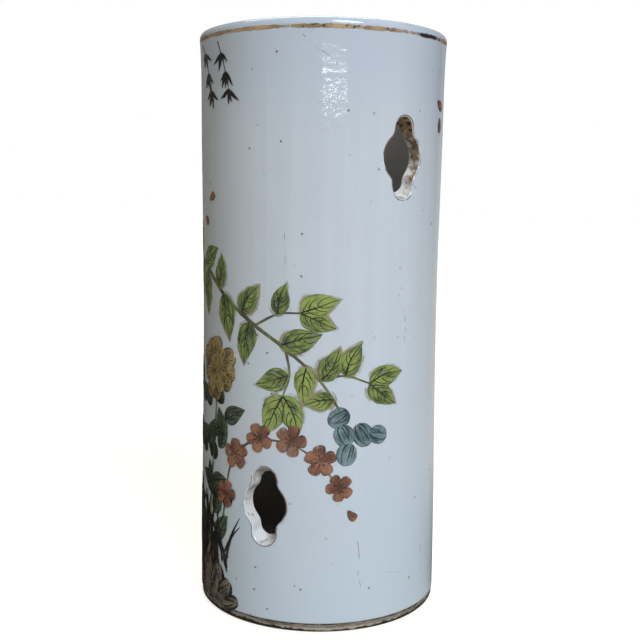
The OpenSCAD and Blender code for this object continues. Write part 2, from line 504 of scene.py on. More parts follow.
glaze, tree, shader, place = new_material("porcelain_glaze")
surface = use_group(tree, skin, Place=place)
iron = use_group(tree, specks, Place=place, Spacing=110.0, Radius=0.056)
pin = use_group(tree, specks, Place=place, Spacing=150.0, Radius=0.045)
mottle, height, cut_share = surface["Mottle"], place.height(), value_of(tree, "inside")
# The bore and the deepest part of each cut take the painted shade of the hollow, and turn dull.
depth = cut_share.ramp(0.92, 1.0)
colour = GLAZE_COLOUR
for share, shade in (
        (mottle.ramp(0.35, 0.7), GLAZE_THIN), (surface["Runs"].ramp(0.40, 0.72) * 0.35, GLAZE_RUN),
        ((mottle * 0.12 + height).fade(0.05, 0.24), GLAZE_POOLED),
        (height.ramp(0.225, 0.27) * 0.8, GLAZE_LIP), (height.fade(0.0045, 0.0052), FOOT_EDGE),
        (pin["Spot"] * 0.55, PINHOLE), (iron["Halo"] * 0.4, IRON_HALO), (iron["Spot"], IRON_SPOT),
        (cut_share.ramp(0.02, 0.15), GLAZE_CUT), (depth, PAINTED_INSIDE_SHADE)):
    colour = share.blend(colour, shade)
dress(tree, shader, Base_Color=colour, Roughness=depth * 0.4 + (mottle * 0.05 + 0.025),
      Normal=(surface["Height"] - iron["Spot"] * 0.25).emboss(0.075, 0.0012))
wall.data.materials.append(glaze)

# The base is a turned disc of bare porcelain: a floor that plugs the bore, a flange that carries the
# wall and a foot ring. Its edge is stained, and it is dark along the seam and all above it, the floor
# inside included. Its bottom corner is darkened by dirt and by painted shade of the gap under the foot,
# and this dark rises higher everywhere but at the side towards the camera and the key light.
BASE_CORNERS = np.array([
    (0.5, 3.5, 0), (50.4, 3.5, 0.8), (51.9, 0, 0.7), (58.9, 0, 0.4), (60.0, 1.1, 0.4),
    (60.0, 4.15, 0.3), (52.55, 4.15, 0.1), (52.55, 10.5, 0.1), (0.5, 10.5, 0)]) * MM


def rounded(corners, steps=5):
    """A profile through corners (radius, height, cut), each corner rounded from its cut's distance on
    either side by a parabola."""
    point, cut = corners[:, :2], corners[:, 2:]
    step = np.diff(point, axis=0)
    unit = step / np.linalg.norm(step, axis=1, keepdims=True)
    before = point - cut * np.vstack([[0, 0], unit])
    after = point + cut * np.vstack([unit, [0, 0]])
    t = np.linspace(0, 1, steps)[:, None, None]
    curve = (1 - t) ** 2 * before + 2 * t * (1 - t) * point + t ** 2 * after
    inner = curve[:, 1:-1].transpose(1, 0, 2).reshape(-1, 2)
    profile = np.vstack([point[:1], inner, point[-1:]])
    return profile[:, 0], profile[:, 1]


def stretch(turn, centre, width):
    """A soft bump over turns near a centre, both in degrees."""
    off = (np.degrees(turn) - centre + 180) % 360 - 180
    return np.exp(-(off / width) ** 2)


base_grid = turned(*rounded(BASE_CORNERS))
base_turn = np.arctan2(base_grid[..., 0], -base_grid[..., 1])
# The dark at the foot rises higher away from turn 32, the side towards the camera and the key light:
# painted shade.
base = make_piece(
    "turned_base", [base_grid], {"soil_and_shade": [1 - stretch(base_turn, 32, 32)]}, capped=True)
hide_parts("base")

BISCUIT_COLOUR = (0.25, 0.225, 0.185, 1)
BISCUIT_STAIN = (0.13, 0.11, 0.085, 1)
BISCUIT_WORN = (0.40, 0.36, 0.29, 1)
BISCUIT_DIRT_AND_SHADE = (0.016, 0.013, 0.010, 1)
biscuit, tree, shader, place = new_material("stained_biscuit")
streaks, height = place.upright(6.0), place.height()
stain = streaks.noise(160.0, 5.0)
rag = place.noise(420.0, 4.0) * 0.0016 + height
# Dark bottom band: dirt and painted shade. Above the seam, the base is dark all over.
soil_and_shade = place.noise(300.0, 5.0) * 0.0034 + (height - value_of(tree, "soil_and_shade") * 0.0014)
colour = stain.ramp(0.38, 0.66).blend(BISCUIT_COLOUR, BISCUIT_STAIN)
colour = rag.fade(0.0030, 0.0035).blend(colour, BISCUIT_WORN)
colour = soil_and_shade.fade(0.0026, 0.0034).blend(colour, BISCUIT_DIRT_AND_SHADE)
colour = rag.ramp(0.0046, 0.0050).blend(colour, BISCUIT_DIRT_AND_SHADE)
dress(tree, shader, Base_Color=colour, Roughness=stain * 0.2 + 0.6, Specular_IOR_Level=0.15,
      Normal=streaks.noise(900.0, 3.0).emboss(0.3, 0.0004))
base.data.materials.append(biscuit)

# The luting coil is a roll of clay pressed by finger into the corner of wall and floor, and a little
# into both. It is flecked with dust over the same grey as the inside, which is painted shade of the
# hollow.
COIL_R = 6 * MM
COIL_SEAT = 0.05 * MM
FLOOR_Z = 10.5 * MM
COIL_DUST = (0.33, 0.315, 0.285, 1)
coil_r, coil_z = arc(BORE_R - COIL_R, FLOOR_Z + COIL_R, COIL_R, 0, -90, 13)
coil = make_piece("pressed_coil", [turned(
    np.concatenate([[BORE_R + COIL_SEAT], coil_r, [BORE_R + COIL_SEAT]]),
    np.concatenate([[coil_z[0]], coil_z, [FLOOR_Z - COIL_SEAT]]))], rows_close=True)
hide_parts("luting_coil")
dusty, tree, shader, place = new_material("dusty_shaded_glaze")
dust = place.noise(90.0, 5.0)
# The grey under the dust is the painted shade of the inside.
dress(tree, shader, Base_Color=dust.ramp(0.35, 0.65).blend(PAINTED_INSIDE_SHADE, COIL_DUST),
      Roughness=dust * 0.3 + 0.3)
coil.data.materials.append(dusty)

# Gilding is gold leaf and oil brushed on over the glaze and fired low. It is the first thing to wear:
# what is left is brown where thin, black where tarnished, and gone where it was handled.
GILT = (0.46, 0.325, 0.165, 1)
GILT_BROWN = (0.26, 0.165, 0.08, 1)
GILT_BLACK = (0.022, 0.018, 0.014, 1)
worn, given, kept = new_group(
    "worn_gilding", {"Place": "Vector", "Cover": "Float", "Tarnish": "Float"},
    {"Mask": "Float", "Colour": "Color", "Rough": "Float"})
place, tarnish = given["Place"], given["Tarnish"]
flake = place.noise(380.0, 5.0) * 0.7 + (place.noise(90.0, 3.0) * 0.5 - 0.1)
held = flake - (0.75 - given["Cover"] * 0.5)
brown = (tarnish * 0.15 + place.noise(110.0, 5.0)).ramp(0.40, 0.66)
black = (tarnish * 0.26 + place.noise(480.0, 3.0)).ramp(0.68, 0.78)
dress(worn, kept, Mask=held.ramp(-0.10, 0.26) * 0.95, Rough=brown * 0.2 + 0.34,
      Colour=black.blend(brown.blend(GILT, GILT_BROWN), GILT_BLACK))
gilt, tree, shader, place = new_material("worn_gilt")
leaf = use_group(
    tree, worn, Place=place, Cover=value_of(tree, "cover"), Tarnish=value_of(tree, "tarnish"))
dress(tree, shader, Base_Color=leaf["Colour"], Roughness=leaf["Rough"], Alpha=leaf["Mask"],
      Metallic=0.25, Specular_IOR_Level=0.3)

# The band under the lip: brushed on by hand on the turning stand, so its edges wander and it is thin
# in places. Fumes blackened one stretch on the right.
BAND_Z = (LIP_Z - 1.15 * MM) / MM
BAND_HALF = 1.12
BAND_LIFT = 0.05 * MM
# Rows of gain, centre and width of each stretch, in degrees: where the gilding holds or has worn, and
# where it has tarnished.
RIM_WEAR = [(0.1, 31, 4), (0.1, 46, 6), (-0.26, 38, 3), (-0.20, 14, 6), (-0.40, 66, 6)]
RIM_FUMES = [(0.8, 22.5, 2.5), (0.5, 38, 4), (0.4, 12, 8), (1.8, 79, 8), (0.6, 200, 20)]


def stretches(turn, rows):
    """The sum of soft bumps over turns, each times its gain."""
    return sum(gain * stretch(turn, centre, width) for gain, centre, width in rows)


band_turn = full_turn(360)
rng = np.random.default_rng(11)
waves = rng.integers(5, 60, (2, 14, 1))
phases = rng.uniform(0, 2 * math.pi, (2, 14, 1))
wander = (np.sin(waves * band_turn + phases) / np.sqrt(waves)).sum(axis=1) * 0.16
middle = BAND_Z + wander[0] * 0.4
half = BAND_HALF + wander[1] * 0.22
around = full_turn(16)[:, None]
band = on_wall(-band_turn, (middle + half * np.cos(around)) * MM, BAND_LIFT * np.sin(around))
rim_cover = 1.06 + stretches(-band_turn, RIM_WEAR) - 0.74 * np.cos(around) ** 2
rim = make_piece("rim_gilding_band", [band], {
    "cover": [rim_cover], "tarnish": [0.2 + stretches(-band_turn, RIM_FUMES)]}, rows_close=True)
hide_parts("rim_gilding")
rim.data.materials.append(gilt)

# The cut faces of the openings were gilded too. The upper ones keep it at the top, where no hand
# rubs; in the lower ones, where fingers reach in to lift the stand, almost all is gone.
FILM_T = 0.03 * MM
FILM_FROM, FILM_TO = 3, -2


def film(cut, lead):
    """Gilding over a cut face: a front just proud of the glaze and a back just under it."""
    grow, depth = (part[FILM_FROM:FILM_TO] for part in cut_profile(cut[1]))
    return round_axis(*cut_points(cut, lead, np.concatenate([grow - FILM_T, grow[::-1] + FILM_T]),
                                  np.concatenate([depth, depth[::-1]])))


film_lead = round_outline(60, 60, 0)
for row, cuts, cover, gain in (("upper", UPPER_CUTS, 0.68, 0.18), ("lower", LOWER_CUTS, 0.32, 0.0)):
    for number, cut in enumerate(cuts, 1):
        grid = film(cut, film_lead)
        way_in = np.linspace(0, 1, len(grid) // 2)
        film_depth = np.concatenate([way_in, way_in[::-1]])[:, None]
        rise = np.clip((grid[..., 2] / MM - cut[1]) / 12, -1, 1)
        rubbed = 0.5 * film_depth ** 3 * (1 - 0.7 * np.maximum(rise, 0))
        piece = make_piece(f"{row}_gilding_film_{number}", [grid], {
            "cover": [cover + gain * rise - rubbed], "tarnish": [0.52 + 0.12 * rise]}, rows_close=True)
        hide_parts(f"{row}_opening_gilding_{number}")
        piece.data.materials.append(gilt)

# The openings are lined on the outside with a thin stroke of manganese brown, drawn freehand with the
# tip of the brush just off the edge and broken where the brush ran dry.
MANGANESE, MANGANESE_THIN = (0.13, 0.075, 0.075, 1), (0.28, 0.19, 0.16, 1)
LINE_OFF, LINE_HALF = 0.62, 0.26
LINE_LIFT, LINE_BED = 0.05 * MM, -0.01 * MM
line_lead = round_outline(70, 70, 0)
line_around = full_turn(8)[:, None]
line_off = (LINE_OFF + LINE_HALF * np.cos(line_around)) * MM
line_grids = []
for cut in UPPER_CUTS + LOWER_CUTS:
    line_turn, _, line_z = cut_points(cut, line_lead, line_off, 0.0)
    line_grids.append(on_wall(line_turn, line_z, LINE_LIFT * np.sin(line_around) + LINE_BED))
lines = make_piece("opening_lines", line_grids, rows_close=True)
manganese, tree, shader, place = new_material("manganese_line")
dress(tree, shader, Roughness=0.3, Alpha=place.noise(150.0, 3.0).ramp(0.36, 0.58),
      Base_Color=place.noise(300.0, 4.0).ramp(0.4, 0.65).blend(MANGANESE, MANGANESE_THIN))
lines.data.materials.append(manganese)

# Overglaze enamels: coloured glass ground in oil and laid on the fired glaze with a brush, a touch
# proud of it. The painted front shows a fruiting branch that droops over a tall flower.
WALL_R = 59.5
SUNK, TIP_HALF = -0.05, 0.06
LEAF_ROUND, PETAL_ROUND = (0.62, 1.05), (0.8, 0.35)
FRUIT_ROUND, STONE_ROUND = (0.5, 0.5), (0.3, 0.42)


def curve_through(points, count):
    """Smooth curve through points: each span is a cubic that heads along its neighbours' chords."""
    p = np.asarray(points, float)
    p = np.vstack([2 * p[0] - p[1], p, 2 * p[-1] - p[-2]])
    u = np.linspace(0, len(p) - 3, count)
    i = np.minimum(u.astype(int), len(p) - 4)
    t = (u - i)[:, None]
    a, b, c, d = p[i], p[i + 1], p[i + 2], p[i + 3]
    return 0.5 * (2 * b + (c - a) * t + (2 * a - 5 * b + 4 * c - d) * t ** 2
                  + (3 * b - a - 3 * c + d) * t ** 3)


def waver(spot):
    """Unsteadiness of a drawn edge at a place on the wall, in millimetres: three crossing waves."""
    s, z = spot[..., 0], spot[..., 1]
    return (0.1 * np.sin(0.5 * s + 0.3 * z) + 0.07 * np.sin(1.2 * z - 0.7 * s + 1)
            + 0.05 * np.sin(2.1 * s + 1.7 * z + 2))


def stroke(path, half, bed, dome, ring=12):
    """Enamel along paths (..., n, 2), in millimetres round the wall and up it: a section as wide as the
    brush there, with unsteady edges, domed on a bed above the glaze, its underside just below it."""
    way = np.gradient(path, axis=-2)
    way = way / np.linalg.norm(way, axis=-1, keepdims=True)
    left = np.stack([-way[..., 1], way[..., 0]], axis=-1)[..., None, :]
    angle = full_turn(ring)
    across = np.cos(angle)[:, None]
    half = half[..., None, None]
    spot = path[..., None, :] + left * half * across
    spot = spot + left * across * (waver(spot)[..., None] * np.minimum(half, 2) / 2)
    lift = np.where(np.sin(angle) > -1e-6, np.asarray(bed)[..., None] + dome * np.sin(angle), SUNK)
    return on_wall(spot[..., 0] / WALL_R, spot[..., 1] * MM, lift * MM)


def blade_point(blade, u, v, swell):
    """Point of a leaf or petal at a share u along it and v across it (-1 to 1). Its middle line is a
    parabola from the root, and its half width swells and fades as u^p (1-u)^q."""
    s, z, heading, length, width, bend = np.moveaxis(blade, -1, 0)[..., None]
    c, n = np.cos(np.radians(heading)), np.sin(np.radians(heading))
    p, q = swell
    peak = (p / (p + q)) ** p * (q / (p + q)) ** q
    half = length * width * u ** p * (1 - u) ** q / peak + TIP_HALF
    tilt = 2 * bend * u
    scale = 1 / np.sqrt(1 + tilt * tilt)
    along, side = length * u, length * bend * u * u
    along, side = along - tilt * scale * half * v, side + scale * half * v
    return np.stack([s + along * c - side * n, z + along * n + side * c], axis=-1), half


def blades(name, blade, swell, bed, dome, tone, count=40, ring=16):
    """A piece made of leaves or petals, each a row (s, z, heading, length, width, bend)."""
    blade = np.asarray(blade, float)
    u = np.linspace(0.004, 0.996, count)[None, :]
    path, half = blade_point(blade, u, 0.0 * u, swell)
    beds = np.broadcast_to(np.asarray(bed, float), len(blade))[:, None] + 0 * u
    grids = stroke(path, half, beds, dome, ring)
    return make_piece(name, grids, {
        "across": [np.cos(full_turn(ring))] * len(blade), "along": [u.T] * len(blade),
        "tone": np.broadcast_to(tone, len(blade))}, capped=True)


def brush_lines(name, paths, halves, bed=0.05, dome=0.06, ring=8):
    """A piece made of thin brush lines, each with its half width at every point."""
    return make_piece(name, [stroke(path, half, np.full(len(path), bed), dome, ring)
                             for path, half in zip(paths, halves)], capped=True)


def taper(start, end, count):
    """Half widths that run evenly from one value to another."""
    return np.linspace(start, end, count)


wash, given, laid = new_group(
    "enamel_wash", {"Place": "Vector"},
    {"Shade": "Float", "Edge": "Float", "Thin": "Float", "Grain": "Float"})
place = given["Place"]
along, across, mood = (value_of(wash, key) for key in ("along", "across", "tone"))
grain = place.noise(420.0, 4.0)
brushed = along.through("ShaderNodeCombineXYZ", X=along * 1.6, Y=across * 4.0, Z=mood * 9.0)
shade = brushed.noise(1.5, 4.0) * 1.5 + place.noise(150.0, 4.0) * 1.3 + mood * 0.34 + along * 0.26
dress(wash, laid, Shade=shade, Edge=grain * 0.14 + abs(across),
      Thin=place.noise(210.0, 5.0).ramp(0.50, 0.74), Grain=grain)


def enamel(piece, name, dark, light, line, line_from, gloss, thin):
    """Enamel on a piece, between a dark and a light shade, pooled to a line towards its edge. Where it
    is thin, it lets a share of the white glaze through."""
    material, tree, shader, place = new_material(name)
    laid = use_group(tree, wash, Place=place)
    edge, grain = laid["Edge"], laid["Grain"]
    colour = laid["Shade"].ramp(1.25, 2.05).blend(dark, light)
    dress(tree, shader, Base_Color=edge.ramp(line_from, line_from + 0.12).blend(colour, line),
          Roughness=grain * 0.08 + gloss, Specular_IOR_Level=0.3,
          Alpha=(1.0 - laid["Thin"] * thin) * edge.fade(1.01, 1.08), Normal=grain.emboss(0.1, 0.0004))
    piece.data.materials.append(material)


# The branch and the stems: drawn in brown and green with one loaded brush, thick at the root and
# running out to a point.
BARK_GREEN, BARK_BROWN = (0.13, 0.17, 0.045, 1), (0.05, 0.045, 0.025, 1)
BRANCH = [(-74, 181), (-60, 176), (-42, 169), (-24, 157), (-6, 146), (10, 136), (26, 122), (38, 104)]
# Half widths at the two ends of each twig, then its points.
TWIGS = [
    (0.7, 0.4, [(-6, 146), (6, 152), (17, 153)]),
    (0.7, 0.4, [(10, 136), (12, 124), (9, 114)]),
    (0.7, 0.4, [(26, 122), (38, 124), (50, 120)]),
    (1.0, 0.7, [(-40, 26), (-38, 60), (-35, 85), (-33, 108)]),
    (0.8, 0.35, [(-32, 28), (-25, 55), (-20, 78), (-6, 91), (14, 91), (29, 80), (38, 66)])]
stems = [(1.5, 0.55, 60, BRANCH)] + [(root, tip, 40, twig) for root, tip, twig in TWIGS]
branches = brush_lines(
    "painted_branches", [curve_through(points, count) for _, _, count, points in stems],
    [taper(root, tip, count) for root, tip, count, _ in stems], bed=0.03, dome=0.12, ring=10)
bark, tree, shader, place = new_material("branch_enamel")
dress(tree, shader, Roughness=0.3,
      Base_Color=place.noise(140.0, 4.0).ramp(0.40, 0.60).blend(BARK_GREEN, BARK_BROWN))
branches.data.materials.append(bark)

# Pointed leaves, each a wash of two greens that run into each other. In the firing, the flux has left
# a tan halo round them on the glaze.
LEAVES = np.array([
    (-62, 176, 65, 17, 0.28, 0.15), (-56, 175, -80, 20, 0.27, -0.10), (-47, 171, 40, 18, 0.30, -0.15),
    (-44, 169, -95, 21, 0.27, 0.12), (-31, 162, 75, 16, 0.30, 0.10), (-27, 159, -70, 22, 0.27, -0.12),
    (-14, 151, 60, 17, 0.30, -0.12), (-9, 147, -105, 20, 0.28, 0.10), (6, 152, 80, 15, 0.31, -0.10),
    (17, 153, 28, 19, 0.30, -0.15), (17, 153, -30, 18, 0.29, 0.12), (8, 138, 10, 20, 0.29, 0.10),
    (12, 124, -155, 18, 0.31, -0.12), (9, 114, -120, 21, 0.31, 0.10), (9, 114, -62, 20, 0.31, -0.10),
    (20, 128, -100, 17, 0.29, 0.10), (27, 122, 55, 17, 0.31, 0.10), (38, 124, 70, 17, 0.30, -0.12),
    (50, 120, 22, 19, 0.29, -0.15), (50, 120, -42, 18, 0.30, 0.10), (33, 113, -175, 14, 0.31, 0.10)])
HALO_W = 1.4
HALO_TAN, HALO_BROWN = (0.42, 0.37, 0.25, 1), (0.30, 0.23, 0.14, 1)
leaf_s, leaf_z, leaf_heading, leaf_length, leaf_width, leaf_bend = LEAVES.T
leaf_run = np.radians(leaf_heading)
halo_length = leaf_length + 2 * HALO_W
halo_blades = np.column_stack([
    leaf_s - HALO_W * np.cos(leaf_run), leaf_z - HALO_W * np.sin(leaf_run), leaf_heading,
    halo_length, (leaf_length * leaf_width + 1.4 * HALO_W) / halo_length, leaf_bend])
halos = blades("leaf_halos", halo_blades, LEAF_ROUND, 0.0, 0.025, 0.5)
flux, tree, shader, place = new_material("flux_halo")
laid = use_group(tree, wash, Place=place)
patch = place.noise(75.0, 3.0).ramp(0.44, 0.62)
dress(tree, shader, Base_Color=laid["Grain"].blend(HALO_TAN, HALO_BROWN),
      Alpha=patch * (laid["Edge"].fade(0.84, 1.06) * 0.75), Roughness=0.3)
halos.data.materials.append(flux)

leaf_rng = np.random.default_rng(5)
leaf_bed = 0.04 + 0.005 * np.arange(len(LEAVES))
leaves = blades("green_leaves", LEAVES, LEAF_ROUND, leaf_bed, 0.1, leaf_rng.uniform(0, 1, len(LEAVES)))
enamel(leaves, "green_enamel", dark=(0.045, 0.075, 0.025, 1), light=(0.27, 0.36, 0.085, 1),
       line=(0.09, 0.12, 0.03, 1), line_from=0.95, gloss=0.06, thin=0.5)

# Turquoise fruit hang at the branch's end: round drops of copper blue enamel, thick enough to stand
# proud of the glaze.
FRUIT = np.array([
    (40, 107, -150, 11, 0.44, 0.0), (36, 101, -70, 11, 0.45, 0.0), (44, 101, -60, 12, 0.44, 0.0),
    (41, 92, -110, 11, 0.45, 0.0), (50, 97, -20, 10, 0.45, 0.0)])
fruit = blades("turquoise_fruit", FRUIT, FRUIT_ROUND, 0.05 + 0.03 * np.arange(len(FRUIT)), 0.16,
               (0.1, 0.6, 0.3, 0.8, 0.4), count=28, ring=20)
enamel(fruit, "turquoise_enamel", dark=(0.025, 0.065, 0.075, 1), light=(0.20, 0.31, 0.34, 1),
       line=(0.04, 0.08, 0.09, 1), line_from=0.93, gloss=0.05, thin=0.6)

# Dark bushes low on the left, behind the stems: blue-green leaves laid one over another.
# Each is drawn by low and high limits of its place, heading, length, width and bend.
BUSH_LEAVES = 34
BUSH_LIMITS = ((-60, -25), (34, 112), (15, 165), (11, 17), (0.27, 0.34), (-0.15, 0.15))
bush_rng = np.random.default_rng(21)
BUSH = np.column_stack([bush_rng.uniform(low, high, BUSH_LEAVES) for low, high in BUSH_LIMITS])
bush_bed = 0.04 + 0.004 * np.arange(BUSH_LEAVES)
bush = blades("blue_green_bush", BUSH, LEAF_ROUND, bush_bed, 0.1, bush_rng.uniform(0, 0.9, BUSH_LEAVES))
enamel(bush, "blue_green_enamel", dark=(0.008, 0.016, 0.012, 1), light=(0.085, 0.13, 0.07, 1),
       line=(0.010, 0.016, 0.014, 1), line_from=0.92, gloss=0.05, thin=0.1)

# The tall flower: three rings of rounded petals in ochre enamel with brown outlines, the inner rings
# laid over the outer ones.
BLOOM_S, BLOOM_Z = -33.0, 122.0
ring_counts, ring_lengths = np.array([9, 8, 6]), np.array([16.0, 11.5, 7.0])
petal_ring = np.repeat(np.arange(3), ring_counts)
petal_step = np.concatenate([np.arange(n) * 360 / n for n in ring_counts])
PETALS = len(petal_ring)
petal_rng = np.random.default_rng(3)
petals = np.column_stack([
    np.full(PETALS, BLOOM_S), np.full(PETALS, BLOOM_Z),
    petal_step + petal_ring * 17 + petal_rng.uniform(-8, 8, PETALS),
    ring_lengths[petal_ring] * petal_rng.uniform(0.88, 1.08, PETALS),
    0.30 + 0.05 * petal_ring, petal_rng.uniform(-0.12, 0.12, PETALS)])
bloom_bed = 0.32 + 0.006 * np.arange(PETALS)
bloom = blades("ochre_bloom", petals, PETAL_ROUND, bloom_bed, 0.1, petal_rng.uniform(0, 1, PETALS))
enamel(bloom, "ochre_enamel", dark=(0.07, 0.048, 0.017, 1), light=(0.36, 0.28, 0.115, 1),
       line=(0.022, 0.015, 0.008, 1), line_from=0.86, gloss=0.06, thin=0.3)

# Five-petalled blossoms in iron red along the low sprig, each petal one touch of the brush, and a few
# petals that drift away.
BLOSSOMS = np.array([
    (-24, 62, 7.0), (-17, 83, 7.5), (-3, 93, 7.0), (13, 93, 7.5), (27, 84, 7.5), (36, 71, 6.5)])
blossom_turn = np.arange(5) * 72 + np.arange(len(BLOSSOMS))[:, None] * 23
blossom_s, blossom_z, blossom_r = np.repeat(BLOSSOMS, 5, axis=0).T
blossom_petals = np.column_stack([
    blossom_s, blossom_z, blossom_turn.ravel(), blossom_r, np.full(len(blossom_r), 0.40),
    np.tile([0.1, -0.08, 0.05, -0.1, 0.08], len(BLOSSOMS))])
drifting = np.array([
    (94, 251, -35, 8.0, 0.30, 0.2), (98, 243, -80, 7.0, 0.32, -0.2), (-40, 203, 20, 6.0, 0.32, 0.2),
    (-46, 195, -40, 5.0, 0.34, -0.2), (40, 60, -60, 6.0, 0.34, 0.2)])
red_petals = np.vstack([blossom_petals, drifting])
petal_place = np.arange(len(red_petals)) % 5
blossoms = blades("red_blossoms", red_petals, PETAL_ROUND, 0.30 + 0.008 * petal_place, 0.1,
                  np.array([0.2, 0.6, 0.4, 0.8, 0.3])[petal_place])
enamel(blossoms, "iron_red_enamel", dark=(0.075, 0.026, 0.014, 1), light=(0.32, 0.145, 0.082, 1),
       line=(0.05, 0.02, 0.012, 1), line_from=0.90, gloss=0.06, thin=0.55)

# Ink: veins on the leaves, lines on the petals and the fruit, stamens, grass at the foot and bamboo
# hanging near the lip, all drawn last with a fine brush and a dry black.
INK_BLACK, INK_THIN = (0.010, 0.009, 0.007, 1), (0.05, 0.045, 0.035, 1)
SIDE_VEINS = 6
STAMEN_LENGTH = 3.1


def blade_lines(name, blade, u, v, swell, half, bed, dome):
    """Lines drawn on leaves, petals or stones. Each blade has the same number of lines, given by their
    shares along it and across it, on that blade's own bed."""
    count = u.shape[-2]
    rows = np.repeat(blade, count, axis=0).reshape(len(blade), count, -1)
    path, _ = blade_point(rows, u, v, swell)
    shape = path.shape[:3]
    grids = stroke(path, np.broadcast_to(half, shape),
                   np.broadcast_to(bed[:, None, None], shape), dome, 6)
    return make_piece(name, grids.reshape(-1, *grids.shape[2:]), capped=True)


veined = np.vstack([LEAVES, BUSH])
vein_shape = (len(veined), SIDE_VEINS, 1)
vein_u = np.linspace(0, 1, 9)[None, :]
side_u = np.array([[0.07], [0.15], [0.27], [0.35], [0.46], [0.53]]) + 0.28 * vein_u ** 1.5
side_v = np.tile([[1.0], [-1.0]], (3, 1)) * 0.84 * vein_u ** 0.85
vein_rng = np.random.default_rng(13)
shift = vein_rng.uniform(-0.06, 0.06, vein_shape)
side_u = side_u + (shift + vein_rng.uniform(-0.05, 0.08, vein_shape) * vein_u)
side_v = side_v * vein_rng.uniform(0.75, 1.08, vein_shape)
main_u = np.broadcast_to(0.02 + 0.97 * vein_u, (len(veined), 1, 9))
main_v = vein_rng.uniform(-0.25, 0.25, (len(veined), 1, 1)) * np.sin(np.pi * vein_u)
vein_piece = blade_lines(
    "ink_veins", veined, np.concatenate([main_u, side_u], axis=1),
    np.concatenate([main_v, side_v], axis=1), LEAF_ROUND,
    np.vstack([taper(0.40, 0.16, 9)] + [taper(0.26, 0.12, 9)] * SIDE_VEINS),
    np.concatenate([leaf_bed, bush_bed]) + 0.1, 0.04)

petal_u = np.linspace(0.34, 0.86, 7)[None, :] + np.zeros((2, 1))
petal_lines = blade_lines("ink_petal_lines", petals, petal_u, np.array([[-0.42], [0.36]]) * petal_u,
                          PETAL_ROUND, taper(0.10, 0.20, 7), bloom_bed + 0.09, 0.03)

way = np.linspace(0, 1, 11)
fruit_u = np.array([[0.04], [0.10], [0.02]]) + np.array([[0.92], [0.7], [0.55]]) * way
fruit_v = np.array([[-0.55], [0.1], [0.6]]) + np.array([[0.2], [0.25], [-0.15]]) * way
fruit_rows = np.repeat(FRUIT, 3, axis=0).reshape(-1, 3, 6)
fruit_marks, _ = blade_point(fruit_rows, fruit_u, fruit_v, FRUIT_ROUND)
stamen_turn = full_turn(7)
stamen_end = np.stack([np.cos(stamen_turn), np.sin(stamen_turn)], axis=-1) * STAMEN_LENGTH
stamens = BLOSSOMS[:, None, None, :2] + stamen_end[:, None, :] * np.linspace(0.1, 1, 5)[:, None]
fruit_marks, stamens = fruit_marks.reshape(-1, 11, 2), stamens.reshape(-1, 5, 2)
fine_lines = brush_lines(
    "ink_fine_lines", list(fruit_marks) + list(stamens),
    [taper(0.26, 0.1, 11)] * len(fruit_marks) + [taper(0.12, 0.3, 5)] * len(stamens),
    bed=0.4, dome=0.04, ring=6)

GRASS, BAMBOO = 46, 30
ink_rng = np.random.default_rng(8)
tuft = np.column_stack([
    ink_rng.uniform(-60, -22, GRASS), ink_rng.uniform(20, 34, GRASS), ink_rng.uniform(55, 130, GRASS),
    ink_rng.uniform(14, 34, GRASS), np.full(GRASS, 0.03), ink_rng.uniform(-0.35, 0.35, GRASS)])
bamboo_roots = np.array([(-44, 272), (-40, 262), (-37, 254), (-27, 271), (-24, 262), (-22, 254)])
bamboo = np.column_stack([
    np.repeat(bamboo_roots, 5, axis=0),
    np.tile([-40, -68, -92, -116, -140], len(bamboo_roots)) + ink_rng.uniform(-10, 10, BAMBOO),
    ink_rng.uniform(5, 9.5, BAMBOO), np.full(BAMBOO, 0.10), ink_rng.uniform(-0.2, 0.2, BAMBOO)])
ink_blades = blades("ink_grass_and_bamboo", np.vstack([tuft, bamboo]), LEAF_ROUND, 0.25, 0.05,
                    ink_rng.uniform(0, 1, GRASS + BAMBOO), count=16, ring=8)
bamboo_stems = brush_lines("bamboo_stems", [
    curve_through([(-48, 277), (-43, 268), (-38, 257), (-36, 250)], 24),
    curve_through([(-30, 277), (-26, 267), (-23, 258), (-21, 250)], 24)], [taper(0.4, 0.15, 24)] * 2)
ink, tree, shader, place = new_material("black_ink")
dress(tree, shader, Roughness=0.1, Specular_IOR_Level=0.2,
      Base_Color=place.noise(260.0, 3.0).ramp(0.45, 0.75).blend(INK_BLACK, INK_THIN))
for piece in (vein_piece, petal_lines, fine_lines, ink_blades, bamboo_stems):
    piece.data.materials.append(ink)

# A bank of stones at the foot of the stems: a grey-brown wash over black outlines, cracked with the
# same ink.
STONES = np.array([
    (-86, 6.3, 0, 62, 0.028, 0.0), (-66, 6, 62, 36, 0.34, 0.05), (-56, 5.5, 80, 38, 0.28, -0.05),
    (-46, 5.5, 70, 31, 0.32, 0.08), (-41, 5.5, 95, 25, 0.36, -0.06), (-34, 5.5, 75, 20, 0.38, 0.05),
    (-29, 5.5, 60, 15, 0.40, -0.05), (-26, 5.5, 20, 12, 0.34, 0.0)])
stone_bed = 0.02 + 0.03 * np.arange(len(STONES))
stones = blades("earth_bank", STONES, STONE_ROUND, stone_bed, 0.1,
                (-0.6, -0.3, 0.1, 0.2, 0.6, 0.4, 0.6, 0.4), count=34, ring=24)
enamel(stones, "earth_wash", dark=(0.007, 0.006, 0.005, 1), light=(0.23, 0.20, 0.16, 1),
       line=(0.005, 0.004, 0.003, 1), line_from=0.66, gloss=0.06, thin=0.0)
crack_u = np.linspace(0.12, 0.82, 9)[None, :] + np.array([[0.12], [-0.08]])
crack_v = np.array([(0.6, 0.4, 0.5, 0.2, 0.3, 0.05, 0.15, -0.2, -0.1),
                    (-0.6, -0.4, -0.5, -0.35, -0.5, -0.3, -0.4, -0.2, -0.3)])
crack_lines = blade_lines("ink_stone_cracks", STONES[1:], crack_u, crack_v, STONE_ROUND,
                          taper(0.9, 0.3, 9), stone_bed[1:] + 0.08, 0.04)
crack_lines.data.materials.append(ink)

